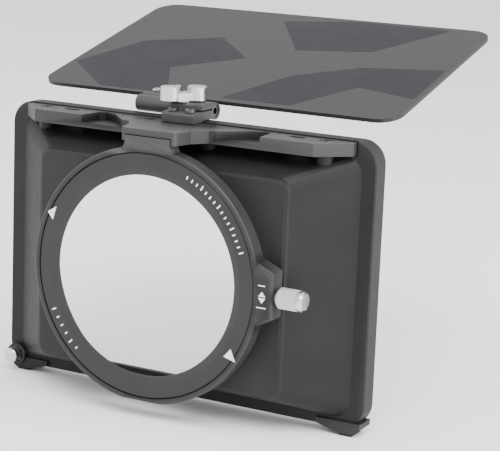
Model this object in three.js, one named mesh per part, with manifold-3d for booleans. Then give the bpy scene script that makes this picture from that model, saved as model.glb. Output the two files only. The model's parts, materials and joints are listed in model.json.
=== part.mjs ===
// Clamp-on lens hood (mini matte box) with a tilting top flag.
// Millimetres. X runs across the hood, Y forward along the lens axis, Z up.
// The drawing origin is the lens axis at the rear face of the clamp ring; the whole
// object is moved at the end so that z = 0 is the underside of the foot pads.
import * as THREE from 'three';
import { mergeVertices } from 'three/addons/utils/BufferGeometryUtils.js';
import Module from 'manifold-3d';

const wasm = await Module();
wasm.setup();

// ---------------------------------------------------------------- driving sizes
const LENS_R = 38.9;          // clear opening for a 77 mm lens rim
const CLAMP_R = 47.5;         // bore of the clamp ring (95 mm standard)
const RING_R = 49.66;         // outside of the clamp ring
const RING_D = 6.4;           // depth of the clamp ring
const GAP = 0.3;              // air left between separate pieces

const PANEL = { y: 9.6, x: 55.2, z0: -41.9, z1: 42.7 };     // rear box of the hood
const FLANGE = { y0: 28.3, y1: 37.2, x: 81.3, z0: -53.3, z1: 56.6, r: 9 };
const MOUTH = { x: 75.6, z0: -49.4, z1: 50.8 };             // where the flare meets the flange
const WALL = 2.2;
const TRAY = { y0: 31.3, y1: 35.1, x0: -80.9, x1: 77.0, z0: -51.1, z1: 54.5 };
const SLOT = { y0: 31.0, y1: 35.4, x1: 77.4, z0: -51.5, z1: 54.9 };

const BAR = { y0: 15.2, y1: 29.0, z0: 51.2, z1: 56.1 };     // top bracket
const HINGE = { y: 39.6, z: 59.7 };                         // axis of the flag hinge
const TILT = 15;                                            // degrees the flag stands up at rest
const CLAMP = { x0: -7.3, x1: 6.7 };                        // width of the flag clamp
const WING = { x: -3.4, y: 31.6, yaw: 50, z: 63.9 };        // wing screw axis and turn
const FLAG = { x: 80.1, s0: 5.5, s1: 107.1, t0: 0.42, t1: 1.92, r: 9 };
const KNOB = { y: 3.7, r: 4.0, x0: 55.6, x1: 67.0 };        // ring lock knob
const PIN = { x: -76.9, z: -49.3, travel: 2.5 };            // tray lock pin
const PANEL_HOLE_R = 46.2;                                  // opening in the rear box
const BRACKET_SCREWS = [[-62, 24.6], [-13.2, 24.3], [13.2, 24.3], [62, 24.6]];
const CLAMP_SCREWS = [-4.0, 3.4];                           // x, both at y 25.2
const FLAG_SCREWS = [[-25.0, 8.2], [-12.0, 8.2], [-18.5, 13.4]];

// ---------------------------------------------------------------- helpers
function manifoldOf(geometry) {
  const g = geometry.clone();
  g.deleteAttribute('normal');
  g.deleteAttribute('uv');
  const m = mergeVertices(g, 1e-4);
  return new wasm.Manifold(new wasm.Mesh({
    numProp: 3,
    vertProperties: new Float32Array(m.attributes.position.array),
    triVerts: new Uint32Array(m.index.array),
  }));
}

function geometryOf(solid) {
  const mesh = solid.getMesh();
  const g = new THREE.BufferGeometry();
  g.setAttribute('position', new THREE.BufferAttribute(new Float32Array(mesh.vertProperties), 3));
  g.setIndex(new THREE.BufferAttribute(new Uint32Array(mesh.triVerts), 1));
  g.computeVertexNormals();
  return g;
}

// closed body through rings of points that share one count; every ring is convex
function loft(rings) {
  const n = rings[0].length;
  const pos = [];
  const idx = [];
  rings.forEach((ring) => ring.forEach((p) => pos.push(p[0], p[1], p[2])));
  for (let k = 0; k + 1 < rings.length; k++) {
    for (let i = 0; i < n; i++) {
      const a = k * n + i;
      const b = k * n + ((i + 1) % n);
      idx.push(a, b, b + n, a, b + n, a + n);
    }
  }
  for (let i = 1; i + 1 < n; i++) {
    idx.push(0, i + 1, i);
    const e = (rings.length - 1) * n;
    idx.push(e, e + i, e + i + 1);
  }
  const g = new THREE.BufferGeometry();
  g.setAttribute('position', new THREE.BufferAttribute(new Float32Array(pos), 3));
  g.setIndex(idx);
  const m = manifoldOf(g);
  if (m.volume() > 0) return m;
  for (let i = 0; i < idx.length; i += 3) {
    const t = idx[i + 1];
    idx[i + 1] = idx[i + 2];
    idx[i + 2] = t;
  }
  g.setIndex(idx);
  return manifoldOf(g);
}

// rounded rectangle in the XZ plane at depth y
function rect(y, x0, x1, z0, z1, r, steps = 5) {
  const ring = [];
  const centres = [[x1 - r, z1 - r, 0], [x0 + r, z1 - r, 90], [x0 + r, z0 + r, 180], [x1 - r, z0 + r, 270]];
  for (const [cx, cz, from] of centres) {
    for (let i = 0; i <= steps; i++) {
      const a = THREE.MathUtils.degToRad(from + (90 * i) / steps);
      ring.push([cx + r * Math.cos(a), y, cz + r * Math.sin(a)]);
    }
  }
  return ring;
}

function box(x0, x1, y0, y1, z0, z1) {
  const g = new THREE.BoxGeometry(x1 - x0, y1 - y0, z1 - z0);
  g.translate((x0 + x1) / 2, (y0 + y1) / 2, (z0 + z1) / 2);
  return manifoldOf(g);
}

// cylinder or cone along X, Y or Z, from a to b, centred on the other two coordinates
function rod(axis, c, a, b, r, segments = 24, r2 = r) {
  const g = new THREE.CylinderGeometry(r2, r, b - a, segments);
  g.translate(0, (a + b) / 2, 0);
  if (axis === 'x') g.rotateZ(-Math.PI / 2);
  if (axis === 'z') g.rotateX(Math.PI / 2);
  if (axis === 'x') g.translate(0, c[0], c[1]);
  if (axis === 'y') g.translate(c[0], 0, c[1]);
  if (axis === 'z') g.translate(c[0], c[1], 0);
  return manifoldOf(g);
}

// ring about the lens axis from a closed profile of [radius, y] pairs
function turned(profile, segments = 96) {
  const pts = profile.map(([r, y]) => new THREE.Vector2(r, y));
  pts.push(pts[0].clone());
  return flipped(manifoldOf(new THREE.LatheGeometry(pts, segments)), pts, segments);
}

function flipped(solid, pts, segments) {
  if (solid.volume() > 0) return solid;
  return manifoldOf(new THREE.LatheGeometry(pts.slice().reverse(), segments));
}

// plan outline [x, y] pushed up from z0 to z1
function plan(points, z0, z1) {
  const s = new THREE.Shape(points.map(([x, y]) => new THREE.Vector2(x, y)));
  const g = new THREE.ExtrudeGeometry(s, { depth: z1 - z0, bevelEnabled: false });
  g.translate(0, 0, z0);
  return manifoldOf(g);
}

// outline [x, z] pushed along Y from y0 to y1
function face(points, y0, y1) {
  const s = new THREE.Shape(points.map(([x, z]) => new THREE.Vector2(x, z)));
  const g = new THREE.ExtrudeGeometry(s, { depth: y1 - y0, bevelEnabled: false });
  g.rotateX(Math.PI / 2);
  g.translate(0, y1, 0);
  return manifoldOf(g);
}

// side outline [y, z] pushed along X from x0 to x1
function side(points, x0, x1) {
  const s = new THREE.Shape(points.map(([y, z]) => new THREE.Vector2(y, z)));
  const g = new THREE.ExtrudeGeometry(s, { depth: x1 - x0, bevelEnabled: false });
  g.rotateX(Math.PI / 2);
  g.rotateZ(Math.PI / 2);
  g.translate(x0, 0, 0);
  return manifoldOf(g);
}

function arc(cx, cy, r, from, to, steps) {
  const out = [];
  for (let i = 0; i <= steps; i++) {
    const a = THREE.MathUtils.degToRad(from + ((to - from) * i) / steps);
    out.push([cx + r * Math.cos(a), cy + r * Math.sin(a)]);
  }
  return out;
}

const object = new THREE.Group();
const finishes = {
  plastic: { color: 0x2b2c2e, roughness: 0.6, metalness: 0.0 },
  black_alu: { color: 0x222326, roughness: 0.4, metalness: 0.6 },
  silver: { color: 0xb9b7b3, roughness: 0.35, metalness: 0.9 },
  steel: { color: 0x6f7073, roughness: 0.4, metalness: 0.9 },
  carbon: { color: 0x3b3c3f, roughness: 0.45, metalness: 0.1 },
  rubber: { color: 0x151515, roughness: 0.9, metalness: 0.0 },
  brass: { color: 0xb08d4a, roughness: 0.4, metalness: 0.8 },
};

function piece(name, solid, finish) {
  const mesh = new THREE.Mesh(geometryOf(solid), new THREE.MeshStandardMaterial(finishes[finish]));
  mesh.name = name;
  object.add(mesh);
}

// cap screw standing on its point: head on top, shank down
function capScrew(x, y, zHead, headR, headH, shankR, length) {
  const head = rod('z', [x, y], zHead, zHead + headH, headR, 20);
  const shank = rod('z', [x, y], zHead - length, zHead + 0.1, shankR, 16);
  const socket = rod('z', [x, y], zHead + headH * 0.4, zHead + headH + 1, headR * 0.48, 6);
  return head.add(shank).subtract(socket);
}

// ---------------------------------------------------------------- hood shell
function hoodShell() {
  const p = PANEL;
  const f = FLANGE;
  const body = loft([
    rect(p.y, -p.x + 1.7, p.x - 1.7, p.z0 + 1.6, p.z1 - 1.6, 3.4),
    rect(p.y + 0.5, -p.x + 0.6, p.x - 0.6, p.z0 + 0.5, p.z1 - 0.5, 4.4),
    rect(p.y + 1.7, -p.x, p.x, p.z0, p.z1, 5),
    rect(f.y0 + 0.6, -MOUTH.x - 0.6, MOUTH.x + 0.6, MOUTH.z0 - 0.2, MOUTH.z1 + 0.2, 7),
  ]);
  const rim = loft([
    rect(f.y0, -f.x + 0.5, f.x - 0.5, f.z0 + 0.5, f.z1 - 0.5, f.r - 0.5, 8),
    rect(f.y0 + 0.6, -f.x, f.x, f.z0, f.z1, f.r, 8),
    rect(f.y1 - 0.9, -f.x, f.x, f.z0, f.z1, f.r, 8),
    rect(f.y1, -f.x + 0.9, f.x - 0.9, f.z0 + 0.9, f.z1 - 0.9, f.r - 0.9, 8),
  ]);
  const foot = [[62, -52.6], [66, -53.8], [71.5, -55.2], [77.4, -55.2], [80.3, -52.8], [80.6, -50.5], [62, -50.5]];
  let shell = body.add(rim);
  for (const m of [1, -1]) {
    shell = shell.add(face(foot.map(([x, z]) => [m * x, z]), 27.2, 36.8));
  }
  shell = shell.add(rod('y', [PIN.x, PIN.z], 26.0, SLOT.y0, 4.4, 32));
  // hollow: light box, flare, tray slot open to the left, front mouth
  const inside = loft([
    rect(p.y + WALL, -p.x + WALL, p.x - WALL, p.z0 + WALL, p.z1 - WALL, 3),
    rect(SLOT.y0 - 2.2, -MOUTH.x + 2, MOUTH.x - 2, MOUTH.z0 + 1.9, MOUTH.z1 - 1.9, 5),
    rect(SLOT.y0 + 1, -MOUTH.x + 2, MOUTH.x - 2, MOUTH.z0 + 1.9, MOUTH.z1 - 1.9, 5),
  ]);
  shell = shell.subtract(inside);
  // round opening behind the ring, flattened where it meets the top and bottom walls
  shell = shell.subtract(rod('y', [0, 0], p.y - 1, p.y + WALL + 1, PANEL_HOLE_R, 72)
    .intersect(box(-60, 60, p.y - 2, p.y + WALL + 2, -39.5, 40.3)));
  shell = shell.subtract(box(-90, SLOT.x1, SLOT.y0, SLOT.y1, SLOT.z0, SLOT.z1));
  shell = shell.subtract(loft([
    rect(SLOT.y1 - 1, -MOUTH.x + 0.6, MOUTH.x - 0.6, -49.4, 52.6, 5),
    rect(f.y1 + 1, -MOUTH.x + 0.6, MOUTH.x - 0.6, -49.4, 52.6, 5),
  ]));
  // seat of the top bracket
  shell = shell.subtract(box(-73.4, 73.4, 20, BAR.y1 + 0.4, BAR.z0 - 0.3, 60));
  for (const [x, y] of BRACKET_SCREWS) {
    shell = shell.add(rod('z', [x, y], 45.0, BAR.z0 - GAP, 3.2, 20));
    shell = shell.subtract(rod('z', [x, y], 46.2, 62, 1.35, 16));
  }
  // bushing hole of the tray lock pin
  return shell.subtract(rod('y', [PIN.x, PIN.z], 20, SLOT.y0 + 1, 3.3, 24));
}
piece('hood_shell', hoodShell(), 'plastic');

for (const [tag, m] of [['l', -1], ['r', 1]]) {
  const x0 = Math.min(m * 71.9, m * 77.0);
  piece(`foot_pad_${tag}`, box(x0, x0 + 5.1, 27.8, 36.2, -56.1, -55.5), 'rubber');
}

// ---------------------------------------------------------------- filter tray and its lock pin
function filterTray() {
  const t = TRAY;
  const outer = loft([
    rect(t.y0, t.x0, t.x1, t.z0, t.z1, 1.2, 2),
    rect(t.y1, t.x0, t.x1, t.z0, t.z1, 1.2, 2),
  ]);
  const corner = loft([
    rect(t.y0 - 1, -FLANGE.x + 0.4, 120, FLANGE.z0 + 0.4, FLANGE.z1 - 0.4, FLANGE.r - 0.4, 8),
    rect(t.y1 + 1, -FLANGE.x + 0.4, 120, FLANGE.z0 + 0.4, FLANGE.z1 - 0.4, FLANGE.r - 0.4, 8),
  ]);
  const hole = loft([
    rect(t.y0 - 1, -73.2, 73.4, -48.2, 51.0, 4),
    rect(t.y1 + 1, -73.2, 73.4, -48.2, 51.0, 4),
  ]);
  const grip = box(-82, -80.4, t.y0 + 1.1, t.y1 - 1.1, -12, 16);
  return outer.intersect(corner).subtract(hole).subtract(grip);
}
piece('filter_tray', filterTray(), 'plastic');

const pinAt = [PIN.x, PIN.z];
piece('pin_bushing', rod('y', pinAt, 26.3, 30.7, 3.0, 28).subtract(rod('y', pinAt, 20, 36, 1.42, 20)), 'brass');
piece('lock_pin', rod('y', pinAt, 22.1, 25.7, 2.95, 32)
  .add(rod('y', pinAt, 21.7, 22.1, 2.55, 32, 2.95))
  .add(rod('y', pinAt, 25.6, 31.1, 1.3, 20)), 'silver');

// ---------------------------------------------------------------- top bracket
function topBracket() {
  const b = BAR;
  const half = [[11.2, 0.5], [12, 1.6], [13.6, 9], [17.8, b.y0], [61.5, b.y0], [72.6, 26], [72.6, b.y1]];
  const outline = half.concat(half.slice().reverse().map(([x, y]) => [-x, y]));
  let bar = plan(outline, b.z0, b.z1);
  // scooped pockets each side of the centre, leaving a thin ledge
  const pocket = [[39.4, 10], [39.4, 16], [38.2, 26], [36, 27.4], [30, 25], [20.6, b.y0 - 0.2], [19, 12], [19, 10]];
  for (const m of [1, -1]) {
    bar = bar.subtract(plan(pocket.map(([x, y]) => [m * x, y]), b.z0 + 2.0, b.z1 + 1));
    // accessory slot near each end
    bar = bar.subtract(box(m * 50.2 - 2.2, m * 50.2 + 2.2, 23.2, 26.0, b.z0 - 1, b.z1 + 1));
    bar = bar.subtract(rod('z', [m * 50.2 - 2.2, 24.6], b.z0 - 1, b.z1 + 1, 1.4, 20));
    bar = bar.subtract(rod('z', [m * 50.2 + 2.2, 24.6], b.z0 - 1, b.z1 + 1, 1.4, 20));
    // screws that come up through the tongue from below
    bar = bar.subtract(rod('z', [m * 5.4, 9.4], b.z0 - 1, b.z1 - 0.9, 1.35, 16));
  }
  bar = bar.subtract(box(-10.1, 10.1, 0, 14.5, b.z0 - 1, 53.7));
  for (const [x, y] of BRACKET_SCREWS) {
    bar = bar.subtract(rod('z', [x, y], b.z0 - 1, b.z1 + 1, 1.4, 16));
    bar = bar.subtract(rod('z', [x, y], b.z1 - 1.9, b.z1 + 1, 2.3, 24));
  }
  for (const x of CLAMP_SCREWS) {
    bar = bar.subtract(rod('z', [x, 25.2], b.z0 - 1, b.z1 + 1, 1.3, 16));
  }
  return bar;
}
piece('top_bracket', topBracket(), 'black_alu');
BRACKET_SCREWS.forEach(([x, y], i) => {
  piece(`bracket_screw_${i + 1}`, capScrew(x, y, BAR.z1 - 1.7, 2.05, 1.5, 1.15, 6.8), 'steel');
});

// ---------------------------------------------------------------- clamp ring, adapter, ring lock
function clampRing() {
  let ring = turned([
    [CLAMP_R, 0], [RING_R - 0.4, 0], [RING_R, 0.4], [RING_R, RING_D - 0.4], [RING_R - 0.4, RING_D],
    [44.6, RING_D], [44.6, RING_D - 0.9], [CLAMP_R, RING_D - 0.9],
  ]);
  // tongue with hollow fillets, carried forward under the bracket
  const leftFillet = arc(-13.8, 51.2, 4, 0, -72, 5);
  const rightFillet = leftFillet.map(([x, z]) => [-x, z]).reverse();
  const neck = [[-9.8, 53.4], ...leftFillet, [-12.2, 45.9], [12.2, 45.9], ...rightFillet, [9.8, 53.4]];
  ring = ring.add(face(neck, 0, RING_D).subtract(rod('y', [0, 0], -1, RING_D + 1, CLAMP_R, 96)));
  ring = ring.add(box(-9.8, 9.8, 3, 14.2, 51.5, 53.4));
  // boss that carries the lock screw
  const rear = [[45.6, 11.4], [47.9, 10.7], [54.0, 7.2], [54.0, -6.6], [48.1, -10.4], [45.6, -11.2]];
  const deep = [[45.6, 13.0], [48.3, 12.2], [54.9, 9.2], [54.9, -8.4], [48.3, -11.8], [45.6, -12.6]];
  const ringAt = (pts, y) => pts.map(([x, z]) => [x, y, z]);
  const boss = loft([ringAt(rear, 0), ringAt(deep, 1.4), ringAt(deep, 8.2)]);
  ring = ring.add(boss.subtract(rod('y', [0, 0], -1, RING_D - 0.9, CLAMP_R, 96))
    .subtract(rod('y', [0, 0], -1, 12, 44.6, 96)));
  for (const m of [1, -1]) {
    ring = ring.subtract(rod('z', [m * 5.4, 9.4], 50, 55, 1.4, 16));
  }
  ring = ring.subtract(rod('x', [KNOB.y, 0], 44, 58, 1.6, 20));
  return ring.subtract(box(-30, 30, -1, 12, -60, -48.7));
}
piece('clamp_ring', clampRing(), 'black_alu');
for (const [tag, m] of [['l', -1], ['r', 1]]) {
  const x = m * 5.4;
  const screw = rod('z', [x, 9.4], 49.5, 51.2, 2.3, 20)
    .add(rod('z', [x, 9.4], 51.0, 54.9, 1.2, 16))
    .subtract(rod('z', [x, 9.4], 48, 50.5, 1.1, 6));
  piece(`tongue_screw_${tag}`, screw, 'steel');
}

piece('adapter_ring', turned([
  [41.8, 0], [CLAMP_R - 0.6, 0], [CLAMP_R - 0.3, 0.3], [CLAMP_R - 0.3, 2.7], [CLAMP_R - 0.9, 3.4],
  [CLAMP_R - 0.9, 4.0], [CLAMP_R - 0.3, 4.7], [CLAMP_R - 0.3, 5.1], [43.4, 5.1], [43.4, 3.9],
  [41.2, 3.3], [LENS_R, 1.5], [LENS_R, 0.9],
]), 'black_alu');

const knobAt = [KNOB.y, 0];
piece('lock_shoe', rod('x', knobAt, 46.98, 47.9, 0.4, 20, 1.5).add(rod('x', knobAt, 47.9, 49.2, 1.5, 20)), 'brass');
piece('lock_screw', rod('x', knobAt, 49.5, 60.0, 1.5, 20), 'steel');
piece('lock_knob', rod('x', knobAt, KNOB.x0, KNOB.x0 + 1.5, 3.0, 40, KNOB.r)
  .add(rod('x', knobAt, KNOB.x0 + 1.5, KNOB.x1 - 1.0, KNOB.r, 40))
  .add(rod('x', knobAt, KNOB.x1 - 1.0, KNOB.x1, KNOB.r, 40, 3.1))
  .subtract(rod('x', knobAt, 50, 60.3, 1.55, 20)), 'silver');

// ---------------------------------------------------------------- flag clamp and wing screw
function flagClamp() {
  const h = HINGE;
  const profile = [[22.0, 56.4], [29.2, 56.4], [29.6, 56.95], ...arc(h.y, h.z, 3.35, -124, 90, 16), [30.0, 63.3],
    [28.8, 62.5], [28.6, 60.6], [23.0, 60.1], [22.0, 59.3]];
  let clamp = side(profile, CLAMP.x0, CLAMP.x1);
  clamp = clamp.subtract(box(CLAMP.x0 - 1, CLAMP.x1 + 1, 28.0, h.y, 60.35, 60.95));
  clamp = clamp.subtract(rod('x', [h.y, h.z], CLAMP.x0 - 1, CLAMP.x1 + 1, 2.45, 28));
  clamp = clamp.subtract(rod('z', [WING.x, WING.y], 57.2, 70, 1.7, 20));
  for (const x of CLAMP_SCREWS) {
    clamp = clamp.subtract(rod('z', [x, 25.2], 50, 70, 1.3, 16));
  }
  return clamp;
}
piece('flag_clamp', flagClamp(), 'black_alu');
CLAMP_SCREWS.forEach((x, i) => {
  piece(`clamp_screw_${i + 1}`, capScrew(x, 25.2, 60.45, 2.0, 1.1, 1.1, 7.6), 'steel');
});

const wingAt = [WING.x, WING.y];
piece('wing_washer', rod('z', wingAt, 63.4, 63.8, 3.0, 28).subtract(rod('z', wingAt, 60, 66, 1.75, 20)), 'steel');
piece('wing_stud', rod('z', wingAt, 57.4, 66.4, 1.5, 20), 'steel');

function wingHandle() {
  const a = THREE.MathUtils.degToRad(WING.yaw);
  const dir = [Math.cos(a), Math.sin(a)];
  let body = null;
  for (const s of [-1, 1]) {
    const c = [WING.x + s * 5.5 * dir[0], WING.y + s * 5.5 * dir[1]];
    const post = rod('z', c, WING.z, 68.9, 3.8, 36).add(rod('z', c, 68.9, 69.3, 3.8, 36, 3.4));
    body = body ? body.add(post) : post;
  }
  const web = new THREE.BoxGeometry(11, 6.0, 2.9);
  web.rotateZ(a);
  web.translate(WING.x, WING.y, WING.z + 1.45);
  body = body.add(manifoldOf(web));
  return body.subtract(rod('z', wingAt, 60, 66.6, 1.55, 20));
}
piece('wing_handle', wingHandle(), 'silver');

// ---------------------------------------------------------------- flag, bracket and hinge rod
// built flat about the hinge axis (s forward, t up), then tilted
function tilted(solid) {
  return solid.rotate([TILT, 0, 0]).translate([0, HINGE.y, HINGE.z]);
}

function flagBracket() {
  const x0 = -28.3;
  const x1 = CLAMP.x0 - 0.5;
  let b = rod('x', [0, 0], x0, x1, 3.3, 36);
  b = b.add(plan([[x0 + 0.6, 0], [x1, 0], [x1, 12.5], [x1 - 4, 16.5], [x0 + 4.6, 16.5], [x0 + 0.6, 12.5]], -1.5, 0.1));
  b = b.add(side([[0, 0], [3.2, 0], [5.15, 0], [5.15, 2.6], [4.4, 3.1], [1.6, 3.1], [0.4, 2.4]], x0 + 0.6, x1));
  b = b.subtract(rod('x', [0, 0], x0 + 3, x1 + 1, 2.4, 28));
  for (const [x, s] of FLAG_SCREWS) {
    b = b.subtract(rod('z', [x, s], -5, 5, 1.0, 14));
  }
  return b;
}
piece('flag_bracket', tilted(flagBracket()), 'black_alu');
piece('flag_rod', tilted(rod('x', [0, 0], -24.8, CLAMP.x1 - 0.4, 2.3, 28)
  .subtract(rod('x', [0, 0], CLAMP.x1 - 3.4, CLAMP.x1 + 1, 1.5, 6))), 'steel');

function flagPlate() {
  const f = FLAG;
  const ring = (t) => rect(0, -f.x, f.x, f.s0, f.s1, f.r, 8).map(([x, , s]) => [x, s, t]);
  let plate = loft([ring(f.t0), ring(f.t1)]);
  for (const [x, s] of FLAG_SCREWS) {
    plate = plate.subtract(rod('z', [x, s], -5, 5, 1.0, 14));
  }
  return plate;
}
piece('flag_plate', tilted(flagPlate()), 'carbon');
FLAG_SCREWS.forEach(([x, s], i) => {
  piece(`flag_screw_${i + 1}`, tilted(capScrew(x, s, FLAG.t1 + 0.1, 1.6, 0.7, 0.8, 3.4)), 'silver');
});

// ---------------------------------------------------------------- stand it on its foot pads
const bounds = new THREE.Box3().setFromObject(object);
const shift = new THREE.Vector3(0, -(bounds.min.y + bounds.max.y) / 2, -bounds.min.z);
object.children.forEach((mesh) => mesh.geometry.translate(shift.x, shift.y, shift.z));

export default object;
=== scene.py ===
import json
import math

import bmesh
import bpy
from mathutils import Matrix, Vector


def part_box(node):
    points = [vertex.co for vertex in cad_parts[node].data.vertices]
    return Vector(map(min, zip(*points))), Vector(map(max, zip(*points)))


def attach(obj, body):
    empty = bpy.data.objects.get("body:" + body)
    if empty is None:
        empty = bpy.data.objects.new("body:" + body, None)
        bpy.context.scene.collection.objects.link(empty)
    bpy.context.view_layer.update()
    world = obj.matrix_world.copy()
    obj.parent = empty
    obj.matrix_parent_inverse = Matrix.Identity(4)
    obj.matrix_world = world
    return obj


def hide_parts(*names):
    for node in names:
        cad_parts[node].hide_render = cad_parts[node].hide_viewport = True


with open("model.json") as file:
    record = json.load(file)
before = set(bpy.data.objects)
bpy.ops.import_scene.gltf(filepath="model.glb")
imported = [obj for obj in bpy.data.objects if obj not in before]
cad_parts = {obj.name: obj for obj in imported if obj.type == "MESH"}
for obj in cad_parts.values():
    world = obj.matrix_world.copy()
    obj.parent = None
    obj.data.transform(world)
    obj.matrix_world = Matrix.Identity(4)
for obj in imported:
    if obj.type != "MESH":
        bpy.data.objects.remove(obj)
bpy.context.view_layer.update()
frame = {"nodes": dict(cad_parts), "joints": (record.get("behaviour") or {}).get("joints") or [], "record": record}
NODES = frame["nodes"]
MM = 0.001

# ------------------------------------------------------------------ driving sizes, metres
JOINT_AT = {j["name"]: Vector(j["pos_m"]) for j in frame["joints"] if "pos_m" in j}
LENS_C = JOINT_AT["adapter_turn"]             # a point on the lens axis
REAR_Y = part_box("adapter_ring")[0].y
KNOB_LO, KNOB_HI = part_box("lock_knob")
HINGE = JOINT_AT["flag_tilt"]
TILT = math.radians(15)                       # how far the flag stands up at rest
PRINT_Y = (REAR_Y - 0.00004, REAR_Y + 0.0001)  # printed marks stand just proud of the ring face
VIEW = {"azimuth": 28.183, "elevation": 11.908, "roll": 2.332, "lens": 128.274,
        "eye": (0.34396, -0.62937, 0.21564)}


# ------------------------------------------------------------------ materials
def material(name):
    m = bpy.data.materials.new(name)
    m.use_nodes = True
    nt = m.node_tree
    return m, nt, nt.nodes["Principled BSDF"]


def coords(nt, scale=(1, 1, 1)):
    tc = nt.nodes.new("ShaderNodeTexCoord")
    mp = nt.nodes.new("ShaderNodeMapping")
    mp.inputs["Scale"].default_value = scale
    nt.links.new(tc.outputs["Object"], mp.inputs["Vector"])
    return mp.outputs["Vector"]


def noise(nt, vector, scale, detail=4.0):
    n = nt.nodes.new("ShaderNodeTexNoise")
    n.inputs["Scale"].default_value = scale
    n.inputs["Detail"].default_value = detail
    nt.links.new(vector, n.inputs["Vector"])
    return n.outputs["Fac"]


def ramp(nt, fac, low, high, a=0.3, b=0.7):
    r = nt.nodes.new("ShaderNodeValToRGB")
    r.color_ramp.elements[0].position = a
    r.color_ramp.elements[0].color = (*low, 1)
    r.color_ramp.elements[1].position = b
    r.color_ramp.elements[1].color = (*high, 1)
    nt.links.new(fac, r.inputs["Fac"])
    return r.outputs["Color"]


def spread(nt, fac, low, high):
    r = nt.nodes.new("ShaderNodeMapRange")
    r.inputs["To Min"].default_value = low
    r.inputs["To Max"].default_value = high
    nt.links.new(fac, r.inputs["Value"])
    return r.outputs["Result"]


def bump(nt, bsdf, height, strength, distance):
    b = nt.nodes.new("ShaderNodeBump")
    b.inputs["Strength"].default_value = strength
    b.inputs["Distance"].default_value = distance
    nt.links.new(height, b.inputs["Height"])
    nt.links.new(b.outputs["Normal"], bsdf.inputs["Normal"])


def painted_edge_highlight(nt, colour, edge, amount):
    """Paints a highlight on the edges, lightening them where the surface is pointed outwards."""
    geo = nt.nodes.new("ShaderNodeNewGeometry")
    r = nt.nodes.new("ShaderNodeMapRange")
    r.inputs["From Min"].default_value = 0.52
    r.inputs["From Max"].default_value = 0.64
    r.inputs["To Max"].default_value = amount
    nt.links.new(geo.outputs["Pointiness"], r.inputs["Value"])
    mix = nt.nodes.new("ShaderNodeMix")
    mix.data_type = "RGBA"
    mix.inputs["B"].default_value = (*edge, 1)
    nt.links.new(r.outputs["Result"], mix.inputs["Factor"])
    nt.links.new(colour, mix.inputs["A"])
    return mix.outputs["Result"]


def textured(name, low, high, rough, grain, strength, depth, metallic=0.0, edge=None, coarse=60):
    m, nt, bsdf = material(name)
    v = coords(nt)
    colour = ramp(nt, noise(nt, v, coarse, 6), low, high)
    # painted highlight: the outward-pointed edges are lightened towards the edge colour
    if edge:
        colour = painted_edge_highlight(nt, colour, edge, 0.6)
    nt.links.new(colour, bsdf.inputs["Base Color"])
    bsdf.inputs["Specular IOR Level"].default_value = 0.28
    nt.links.new(spread(nt, noise(nt, v, coarse * 4), rough[0], rough[1]), bsdf.inputs["Roughness"])
    bsdf.inputs["Metallic"].default_value = metallic
    bump(nt, bsdf, noise(nt, v, grain, 3), strength, depth)
    return m


def turned_metal(name, low, high, rough, stretch):
    m, nt, bsdf = material(name)
    v = coords(nt, stretch)
    lines = noise(nt, v, 900, 3)
    # painted highlight: outward-pointed edges are lightened towards the bright grain colour
    nt.links.new(painted_edge_highlight(nt, ramp(nt, lines, low, high), high, 0.4), bsdf.inputs["Base Color"])
    nt.links.new(spread(nt, lines, rough[0], rough[1]), bsdf.inputs["Roughness"])
    bsdf.inputs["Metallic"].default_value = 1.0
    bump(nt, bsdf, lines, 0.15, 0.00003)
    return m


def carbon_material():
    """Twill weave from two crossed waves, with a long striation over it."""
    m, nt, bsdf = material("carbon_twill")
    bsdf.inputs["Specular IOR Level"].default_value = 0.28
    v = coords(nt)
    wave = []
    for direction in ("X", "Y"):
        w = nt.nodes.new("ShaderNodeTexWave")
        w.bands_direction = direction
        w.inputs["Scale"].default_value = 130
        w.inputs["Distortion"].default_value = 0.6
        nt.links.new(v, w.inputs["Vector"])
        wave.append(w.outputs["Fac"])
    mul = nt.nodes.new("ShaderNodeMath")
    mul.operation = "MULTIPLY"
    nt.links.new(wave[0], mul.inputs[0])
    nt.links.new(wave[1], mul.inputs[1])
    weave = mul.outputs["Value"]
    strands = noise(nt, coords(nt, (1, 14, 1)), 160, 5)
    base = ramp(nt, weave, (0.008, 0.008, 0.0095), (0.03, 0.03, 0.032), 0.1, 0.9)
    tone = ramp(nt, strands, (0.014, 0.0142, 0.016), (0.034, 0.032, 0.031))
    mix = nt.nodes.new("ShaderNodeMix")
    mix.data_type = "RGBA"
    mix.inputs["Factor"].default_value = 0.5
    nt.links.new(base, mix.inputs["A"])
    nt.links.new(tone, mix.inputs["B"])
    nt.links.new(mix.outputs["Result"], bsdf.inputs["Base Color"])
    nt.links.new(spread(nt, weave, 0.48, 0.62), bsdf.inputs["Roughness"])
    bsdf.inputs["Coat Weight"].default_value = 0.08
    bsdf.inputs["Coat Roughness"].default_value = 0.2
    bump(nt, bsdf, weave, 0.2, 0.00005)
    return m


# the edge= colours below are painted highlights laid on the outward-pointed edges
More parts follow.
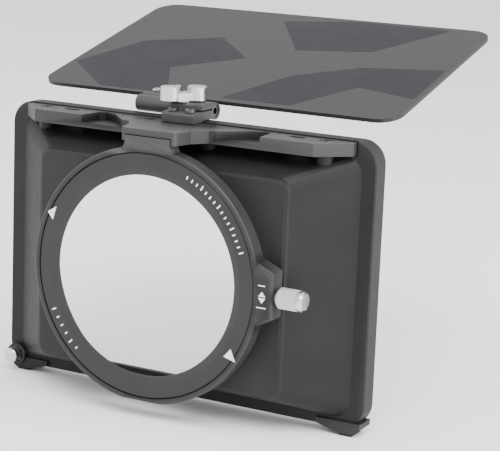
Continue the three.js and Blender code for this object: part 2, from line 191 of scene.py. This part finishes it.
MATERIALS = {
    "shell_plastic": textured("shell_plastic", (0.0055, 0.0056, 0.0065), (0.0095, 0.0096, 0.011),
                              (0.5, 0.66), 2600, 0.25, 0.00005, edge=(0.035, 0.035, 0.038)),
    "tray_plastic": textured("tray_plastic", (0.005, 0.005, 0.006), (0.009, 0.009, 0.01),
                             (0.5, 0.65), 1800, 0.2, 0.00005),
    "black_alu": textured("black_alu", (0.0055, 0.0055, 0.0065), (0.01, 0.01, 0.0115),
                          (0.4, 0.52), 3200, 0.12, 0.00003, metallic=0.0, edge=(0.08, 0.08, 0.084)),
    "silver_alu": turned_metal("silver_alu", (0.5, 0.49, 0.47), (0.72, 0.71, 0.69), (0.2, 0.36), (14, 1, 1)),
    "steel": turned_metal("steel", (0.07, 0.07, 0.075), (0.13, 0.13, 0.135), (0.28, 0.42), (1, 1, 12)),
    "bright_steel": turned_metal("bright_steel", (0.48, 0.48, 0.48), (0.66, 0.66, 0.66), (0.2, 0.34), (1, 1, 12)),
    "carbon": carbon_material(),
    "rubber": textured("rubber", (0.012, 0.012, 0.012), (0.022, 0.022, 0.022),
                       (0.75, 0.9), 1500, 0.4, 0.0001),
    "brass": turned_metal("brass", (0.42, 0.3, 0.13), (0.6, 0.45, 0.22), (0.25, 0.4), (1, 12, 1)),
}
PRINT = textured("white_print", (0.72, 0.72, 0.7), (0.84, 0.84, 0.82), (0.5, 0.7), 2200, 0.3, 0.00003)

SLOT_OF = {s["node"]: s["material_slot"] for s in frame["record"]["subparts"]}
BODY_OF = {n: b for b, ns in frame["record"]["behaviour"]["bodies"].items() for n in ns}
BEVELS = {
    "hood_shell": 0.0005, "filter_tray": 0.0003, "top_bracket": 0.0003, "clamp_ring": 0.00025,
    "flag_clamp": 0.0003, "flag_bracket": 0.0003, "flag_plate": 0.0002, "wing_handle": 0.0003,
}


def dress(obj, slot, bevel):
    obj.data.materials.clear()
    obj.data.materials.append(MATERIALS[slot])
    mod = obj.modifiers.new("edge", "BEVEL")
    mod.width = bevel
    mod.segments = 2
    mod.limit_method = "ANGLE"
    mod.angle_limit = math.radians(35)
    obj.data.shade_smooth()
    obj.modifiers.new("facets", "WEIGHTED_NORMAL")


# ------------------------------------------------------------------ helpers for new pieces
def add(name, bm, body, mat):
    mesh = bpy.data.meshes.new(name)
    bmesh.ops.recalc_face_normals(bm, faces=bm.faces)
    bm.to_mesh(mesh)
    bm.free()
    obj = bpy.data.objects.new(name, mesh)
    bpy.context.scene.collection.objects.link(obj)
    mesh.materials.append(mat)
    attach(obj, body)
    return obj


def prism(bm, outline, y0, y1):
    """Outline of (x, z) points pushed along Y."""
    a = [bm.verts.new((x, y0, z)) for x, z in outline]
    b = [bm.verts.new((x, y1, z)) for x, z in outline]
    bm.faces.new(a)
    bm.faces.new(b[::-1])
    for i in range(len(outline)):
        j = (i + 1) % len(outline)
        bm.faces.new((a[i], a[j], b[j], b[i]))


# ------------------------------------------------------------------ lock knob with a cut diamond knurl
def knurled_knob():
    c = (KNOB_LO + KNOB_HI) / 2
    radius = (KNOB_HI.z - KNOB_LO.z) / 2
    x0, x1 = KNOB_LO.x, KNOB_HI.x
    length = x1 - x0
    around, along, teeth = 192, 72, 32
    bm = bmesh.new()
    rings = []
    for i in range(along + 1):
        s = i / along
        x = x0 + length * s
        ring = []
        for k in range(around):
            a = 2 * math.pi * k / around
            if s < 0.12:
                r = radius * (0.76 + 0.24 * s / 0.12)
            elif s > 0.92:
                r = radius * (1.0 - 0.22 * (s - 0.92) / 0.08)
            else:
                r = radius
            if 0.15 < s < 0.78:
                p = teeth * a
                q = 2 * math.pi * 5.5 * (s - 0.15) / 0.63
                r -= 0.00028 * (1 - max(abs(math.cos((p + q) / 2)), abs(math.cos((p - q) / 2)))) * 2
            elif 0.78 <= s < 0.81:
                r -= 0.0004
            ring.append(bm.verts.new((x, c.y + r * math.cos(a), c.z + r * math.sin(a))))
        rings.append(ring)
    for i in range(along):
        for k in range(around):
            j = (k + 1) % around
            bm.faces.new((rings[i][k], rings[i][j], rings[i + 1][j], rings[i + 1][k]))
    bm.faces.new(rings[0][::-1])
    bm.faces.new(rings[-1])
    knob = add("knob_knurled", bm, BODY_OF["lock_knob"], MATERIALS["silver_alu"])
    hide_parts("lock_knob")


knurled_knob()

for node, obj in NODES.items():
    if node != "lock_knob":
        dress(obj, SLOT_OF[node], BEVELS.get(node, 0.00012))


# ------------------------------------------------------------------ generic printed marks
def radial_marks():
    """Plain tick marks round the adapter ring, and two index triangles."""
    bm = bmesh.new()
    for start, stop, count in ((20, 66, 16), (205, 228, 6)):
        for i in range(count):
            a = math.radians(start + (stop - start) * i / (count - 1))
            u = Vector((math.cos(a), math.sin(a)))
            t = Vector((-u.y, u.x)) * 0.00028
            inner, outer = u * 0.0434, u * (0.0454 if i % 4 == 0 else 0.0447)
            pts = [inner - t, outer - t, outer + t, inner + t]
            prism(bm, [(p.x, p.y + LENS_C.z) for p in pts], *PRINT_Y)
    left = ((-44.0, 19.6), (-40.0, 22.0), (-41.6, 16.6))
    right = ((36.0, -25.0), (38.9, -21.6), (41.0, -26.4))
    for tri in (left, right):
        prism(bm, [(x * MM, z * MM + LENS_C.z) for x, z in tri], *PRINT_Y)
    add("adapter_marks", bm, "adapter", PRINT)


def boss_marks():
    """Turn-direction arrows and bars on the rear face of the lock boss."""
    bm = bmesh.new()
    for pts in (
        ((49.3, 4.1), (52.2, 4.1), (52.2, 4.5), (49.3, 4.5)),
        ((49.5, 0.2), (52.5, 0.2), (51.0, 2.1)),
        ((49.5, -0.3), (51.0, -2.4), (52.5, -0.3)),
        ((48.9, -4.2), (52.8, -4.2), (52.8, -3.8), (48.9, -3.8)),
    ):
        prism(bm, [(x * MM, z * MM + LENS_C.z) for x, z in pts], *PRINT_Y)
    add("boss_marks", bm, "hood", PRINT)


radial_marks()
boss_marks()


# ------------------------------------------------------------------ smooth zones on the flag
FILM = textured("film_zone", (0.005, 0.0055, 0.009), (0.009, 0.0098, 0.014), (0.5, 0.62), 1400, 0.15, 0.00002)


def flag_zones():
    """Angular areas of smooth film on the upper and lower faces of the flag."""
    zones = (
        ((-78, 30), (-52, 8), (-20, 8), (-34, 34), (-8, 52), (-30, 72), (-62, 60)),
        ((-14, 98), (8, 66), (40, 72), (62, 104), (20, 105)),
        ((4, 9), (34, 9), (52, 34), (78, 28), (78, 60), (44, 54), (20, 38)),
    )
    for side, (t0, t1) in (("upper", (1.9, 1.96)), ("lower", (0.38, 0.44))):
        bm = bmesh.new()
        for zone in zones:
            a = [bm.verts.new((x * MM, s * MM, t0 * MM)) for x, s in zone]
            b = [bm.verts.new((x * MM, s * MM, t1 * MM)) for x, s in zone]
            bm.faces.new(a)
            bm.faces.new(b[::-1])
            for i in range(len(zone)):
                j = (i + 1) % len(zone)
                bm.faces.new((a[i], a[j], b[j], b[i]))
        bmesh.ops.transform(bm, matrix=Matrix.Translation(HINGE) @ Matrix.Rotation(TILT, 4, "X"), verts=bm.verts)
        add("flag_film_" + side, bm, "flag", FILM)


flag_zones()


# ------------------------------------------------------------------ camera, light, floor
def camera():
    data = bpy.data.cameras.new("view")
    data.lens = VIEW["lens"]
    data.sensor_width = 36.0
    data.clip_start = 0.01
    cam = bpy.data.objects.new("view", data)
    bpy.context.scene.collection.objects.link(cam)
    a, e, r = (math.radians(VIEW[k]) for k in ("azimuth", "elevation", "roll"))
    back = Vector((math.sin(a) * math.cos(e), -math.cos(a) * math.cos(e), math.sin(e)))
    right = Vector((math.cos(a), math.sin(a), 0))
    up = back.cross(right)
    right2 = right * math.cos(r) + up * math.sin(r)
    up2 = up * math.cos(r) - right * math.sin(r)
    m = Matrix((right2, up2, back)).transposed().to_4x4()
    m.translation = Vector(VIEW["eye"])
    cam.matrix_world = m
    bpy.context.scene.camera = cam


def floor():
    m, nt, bsdf = material("pale_floor")
    v = coords(nt)
    nt.links.new(ramp(nt, noise(nt, v, 3), (0.93, 0.93, 0.93), (0.96, 0.96, 0.96)), bsdf.inputs["Base Color"])
    bsdf.inputs["Roughness"].default_value = 0.8
    bm = bmesh.new()
    corners = ((-6, -6, 0), (6, -6, 0), (6, 6, 0), (-6, 6, 0))
    bm.faces.new([bm.verts.new(c) for c in corners])
    mesh = bpy.data.meshes.new("floor")
    bm.to_mesh(mesh)
    bm.free()
    obj = bpy.data.objects.new("floor", mesh)
    mesh.materials.append(m)
    bpy.context.scene.collection.objects.link(obj)


def area(name, at, size, watts):
    data = bpy.data.lights.new(name, "AREA")
    data.size = size
    data.energy = watts
    lamp = bpy.data.objects.new(name, data)
    bpy.context.scene.collection.objects.link(lamp)
    lamp.location = at
    lamp.rotation_euler = (Vector((0, 0, 0.06)) - Vector(at)).to_track_quat("-Z", "Y").to_euler()


camera()
floor()
area("key", (0.5, -0.7, 1.2), 0.9, 22)
area("right", (1.3, 0.0, 0.45), 0.8, 20)
area("left", (-1.1, -0.5, 0.6), 0.9, 7)
world = bpy.data.worlds.new("studio")
world.use_nodes = True
world.node_tree.nodes["Background"].inputs["Color"].default_value = (1, 1, 1, 1)
world.node_tree.nodes["Background"].inputs["Strength"].default_value = 1.5
bpy.context.scene.world = world
